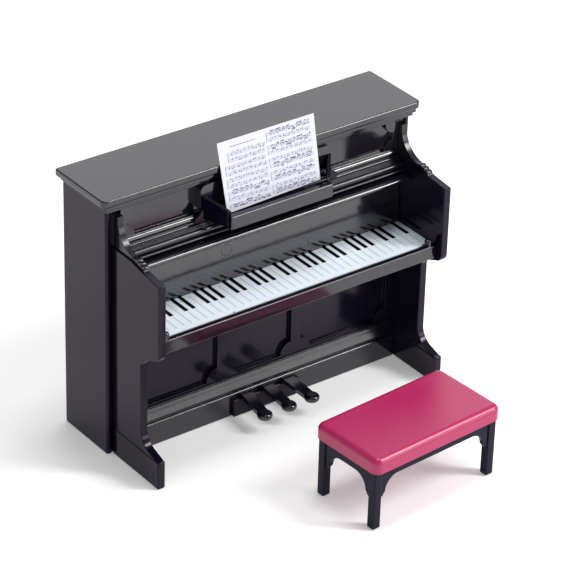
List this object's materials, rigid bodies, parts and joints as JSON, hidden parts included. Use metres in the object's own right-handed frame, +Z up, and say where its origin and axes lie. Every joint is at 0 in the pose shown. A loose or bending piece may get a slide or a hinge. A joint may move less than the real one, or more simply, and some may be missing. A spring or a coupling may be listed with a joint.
{
  "type": "upright piano miniature",
  "caption": "Miniature upright piano for a dolls house in glossy black plastic, with hinged lid, folding key cover, music sheet and a raspberry stool",
  "frame": {"origin": "on the floor, under the bottom board, on the middle plane of the piano and 14 mm in front of its back face", "axes": "+X to the right of a person playing the piano, +Y to the back of the piano, +Z up"},
  "size_m": [0.124, 0.1073, 0.1014],
  "materials": {
    "black_gloss": "polished moulded black",
    "key_white": "smooth white with printed keys",
    "sheet_paper": null,
    "seat_colour": "satin raspberry",
    "stool_black": "satin moulded black"
  },
  "bodies": {
    "case": {"side_panel_left": "black_gloss", "side_panel_right": "black_gloss", "back_panel": "black_gloss", "bottom_board": "black_gloss", "upper_front_panel": "black_gloss", "ledge_moulding": "black_gloss", "nameboard": "black_gloss", "lower_front_panel": "black_gloss", "base_moulding": "black_gloss", "toe_board": "black_gloss", "pedal_block": "black_gloss", "pedal_left": "black_gloss", "pedal_middle": "black_gloss", "pedal_right": "black_gloss", "scroll_plate_left": "black_gloss", "scroll_plate_right": "black_gloss", "cheek_plate_left": "black_gloss", "cheek_plate_right": "black_gloss", "foot_left": "black_gloss", "foot_right": "black_gloss", "cornice_front": "black_gloss", "cornice_left": "black_gloss", "cornice_right": "black_gloss", "key_bed": "black_gloss", "key_slip": "black_gloss", "stop_pegs": "black_gloss", "desk_back_plate": "black_gloss", "desk_bracket_left": "black_gloss", "desk_bracket_right": "black_gloss", "desk_lip": "black_gloss", "key_strip": "key_white"},
    "lid": {"top_lid": "black_gloss", "lid_lugs": "black_gloss"},
    "key_cover": {"fallboard": "black_gloss", "fallboard_pins": "black_gloss"},
    "sheet": {"music_sheet": "sheet_paper"},
    "stool": {"stool_seat": "seat_colour", "stool_apron_front": "stool_black", "stool_apron_back": "stool_black", "stool_apron_left": "stool_black", "stool_apron_right": "stool_black", "stool_leg_front_left": "stool_black", "stool_leg_front_right": "stool_black", "stool_leg_back_left": "stool_black", "stool_leg_back_right": "stool_black"}
  },
  "joints": [
    {"name": "lid_hinge", "type": "hinge", "parent": "case", "child": "lid", "pos_m": [0, 0.013, 0.0902], "axis": [-1, 0, 0], "range_deg": [0, 100]},
    {"name": "fallboard_hinge", "type": "hinge", "parent": "case", "child": "key_cover", "pos_m": [0, -0.01345, 0.05315], "axis": [1, 0, 0], "range_deg": [0, 65]},
    {"name": "sheet_lift", "type": "slide", "parent": "case", "child": "sheet", "axis": [0, 0.2419, 0.9703], "range_m": [0, 0.03]},
    {"name": "stool_slide", "type": "slide", "parent": "case", "child": "stool", "axis": [0, 1, 0], "range_m": [-0.03, 0.03]}
  ]
}
